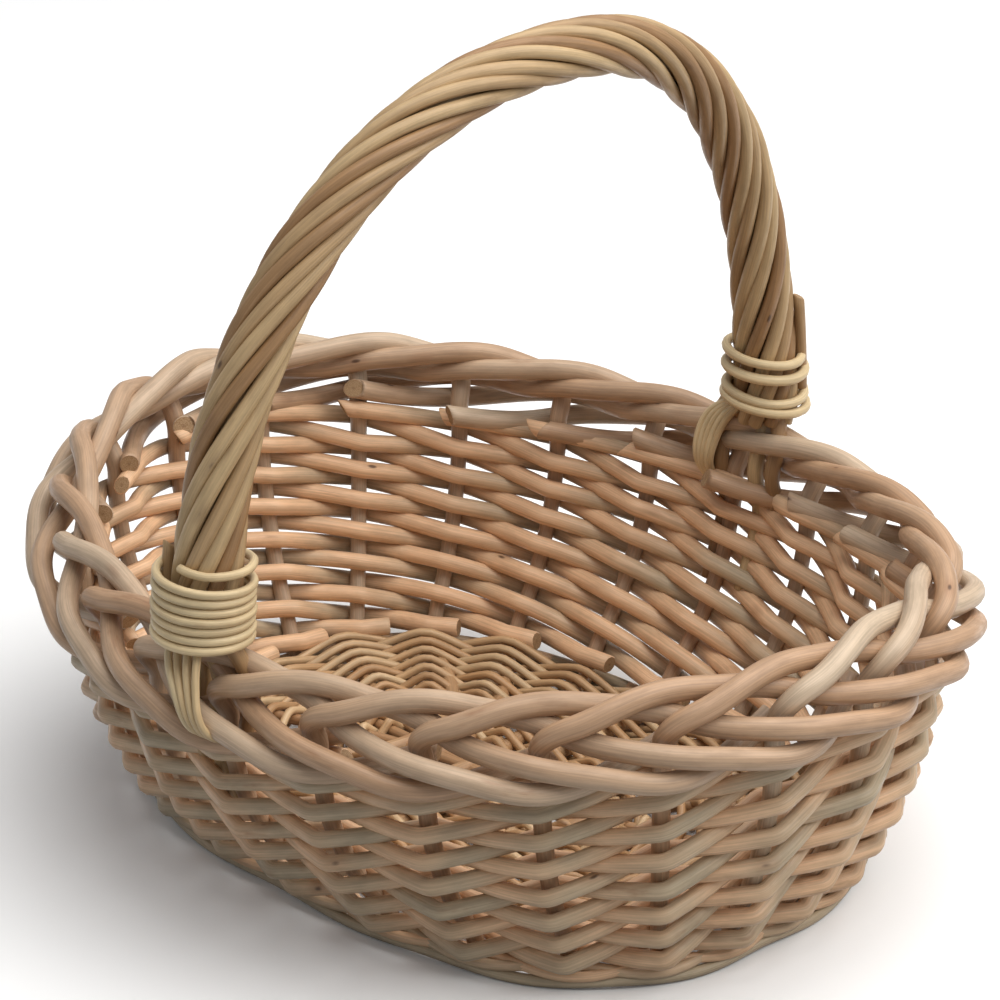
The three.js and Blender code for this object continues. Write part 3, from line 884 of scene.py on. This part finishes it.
# Thin rods that tie each foot down over the border
ties = Rods("handle_ties", 97)
for i in range(4):
    x = -5 + 5.6 * i
    foot_x = 10.5 + 3.2 * i
    path = [
        rim_point(x * 0.8, -1, 10, 139),
        rim_point(x, -1, 16.5, 127 + 1.5 * i),
        rim_point(0.35 * x + 0.65 * foot_x, -1, 23.5, 117),
        rim_point(foot_x, -1, 25, 109),
        rim_point(foot_x + 1.5, -1, 21, 101),
        rim_point(foot_x + 2, -1, 13, 97),
    ]
    ties.lay(smooth_path(path, 2), taper(3.4, 2.9))
for i in range(5):
    x = -20.5 + 3 * i
    foot_x = -21 + 1.6 * i
    path = [
        rim_point(0.5 * x + 4, 1, -4, 138),
        rim_point(x + 2.5, 1, -7, 129 + 0.6 * i),
        rim_point(0.6 * x + 0.4 * foot_x, 1, -9.5, 120),
        rim_point(0.3 * x + 0.7 * foot_x, 1, -10.5, 112),
        rim_point(foot_x, 1, -7.5, 104),
        rim_point(foot_x + 1, 1, -3, 98),
    ]
    ties.lay(smooth_path(path, 2), taper(3.3, 2.8))
ties.finish("binding", [binding_willow, cut])

# Bow: a core inside the rope, and liners that run down from it beside the stakes at the left foot
# (side -1) and the right one (side 1). Their places are on X. The deep ones reach half way down the
# siding, and the short ones end just below its top.
DEEP_LINERS = {-1: (-9, 0.8), 1: (-13.2, 5.9)}
SHORT_LINERS = {-1: (-18, 18), 1: (15.8, -21.5)}
bow = Rods("handle_bow_rods", 83)
core = [arch_frame(d)[0] for d in np.linspace(ROPE_START, arch_length - ROPE_START, 80)]
bow.lay(core, lambda share: ROPE_CORE_THICK * rope_size(share), sides=12)
for side in (-1, 1):
    for x in DEEP_LINERS[side] + SHORT_LINERS[side]:
        deep = x in DEEP_LINERS[side]
        path = [
            rim_point(1 + 0.5 * (x - 1), side, 5, 146),
            rim_point(1 + 0.8 * (x - 1), side, 3, 131),
            rim_point(x, side, -1, 119),
            rim_point(x, side, -3.5, 107),
        ]
        turn = (0 if side < 0 else 0.5) - side * x / rim_line.length
        for rise in (0.95, 0.75, 0.5) if deep else (0.97, 0.9):
            path.append(wall(turn, rise, 0))
        bow.lay(smooth_path(path, 4), taper(7.4, 6.2), sides=10)

# Thick butts left standing against the rope outside each foot: the foot, where each starts and ends
# along the arch, its angle round it and how far out it stands
BUTTS = (
    (-1, 14, 46, 2.73, 16.6),
    (-1, 14, 37, 3.05, 16.2),
    (1, 24, 66, 0.75, 15),
    (1, 22, 48, 1.15, 15),
)
for side, low, high, angle, out in BUTTS:
    path = []
    for d in np.linspace(low, high, 10):
        path.append(round_arch(d if side < 0 else arch_length - d, angle, out))
    bow.lay(path, taper(4.9, 4.6), sides=10, slant=(0, 0.7))
bow.finish("handle", [handle_willow, cut], "handle_bow")


# Floor, light and camera, in metres
LAMP_WHITE = (1.0, 0.98, 0.95)
SKY_WHITE = (0.93, 0.96, 1.0, 1)
PURE_WHITE = (1, 1, 1, 1)
FLOOR_BOUNCE = (0.3, 0.3, 0.3, 1)


def floor():
    bm = bmesh.new()
    bmesh.ops.create_grid(bm, x_segments=1, y_segments=1, size=6)
    mesh = bpy.data.meshes.new("floor")
    bm.to_mesh(mesh)
    bm.free()
    made = bpy.data.objects.new("floor", mesh)
    bpy.context.scene.collection.objects.link(made)
    material, w, shader = new_material("Floor")
    seen = w.node("ShaderNodeLightPath")
    direct = w.math("MAXIMUM", seen.outputs["Is Camera Ray"], seen.outputs["Is Glossy Ray"])
    direct = w.math("MAXIMUM", direct, seen.outputs["Is Transmission Ray"])
    w.join(w.blend(direct, FLOOR_BOUNCE, PURE_WHITE), shader.inputs["Base Color"])
    shader.inputs["Roughness"].default_value = 0.9
    shader.inputs["Specular IOR Level"].default_value = 0.0
    mesh.materials.append(material)
    made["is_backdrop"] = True


def area(name, place, target, size, power):
    data = bpy.data.lights.new(name, "AREA")
    data.shape = "DISK"
    data.size = size
    data.energy = power
    data.color = LAMP_WHITE
    made = bpy.data.objects.new(name, data)
    made.location = place
    made.rotation_mode = "QUATERNION"
    made.rotation_quaternion = (Vector(target) - Vector(place)).to_track_quat("-Z", "Y")
    bpy.context.scene.collection.objects.link(made)


def world():
    made = bpy.data.worlds.new("Studio")
    bpy.context.scene.world = made
    made.use_nodes = True
    made.node_tree.nodes.clear()
    w = Wiring(made.node_tree)
    seen = w.node("ShaderNodeLightPath")
    direct = w.math("MAXIMUM", seen.outputs["Is Camera Ray"], seen.outputs["Is Transmission Ray"])
    soft = w.node("ShaderNodeBackground")
    soft.inputs["Color"].default_value = SKY_WHITE
    soft.inputs["Strength"].default_value = 0.4
    white = w.node("ShaderNodeBackground")
    white.inputs["Color"].default_value = PURE_WHITE
    both = w.node("ShaderNodeMixShader")
    w.join(direct, both.inputs[0])
    w.join(soft.outputs[0], both.inputs[1])
    w.join(white.outputs[0], both.inputs[2])
    w.join(both.outputs[0], w.node("ShaderNodeOutputWorld").inputs["Surface"])


def camera():
    azimuth, elevation = math.radians(45.72), math.radians(24.37)
    back = Vector(
        (
            math.sin(azimuth) * math.cos(elevation),
            -math.cos(azimuth) * math.cos(elevation),
            math.sin(elevation),
        )
    )
    data = bpy.data.cameras.new("camera")
    data.sensor_width = 36
    data.lens = 153.7
    data.shift_x = 0.0034
    data.shift_y = 0.0416
    made = bpy.data.objects.new("camera", data)
    made.location = Vector((0, 0, 0.12)) + back * 1.7
    made.rotation_mode = "QUATERNION"
    made.rotation_quaternion = (-back).to_track_quat("-Z", "Y")
    bpy.context.scene.collection.objects.link(made)
    bpy.context.scene.camera = made


floor()
area("overhead", (0.5, 0.4, 1.75), target=(0, 0, 0.1), size=3.0, power=56)
area("side", (1.6, 0.7, 1.0), target=(0, 0, 0.12), size=0.9, power=5)
world()
camera()
bpy.context.scene.view_settings.view_transform = "Standard"

[[list(corner) for corner in box] for box in (cad_box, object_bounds())]
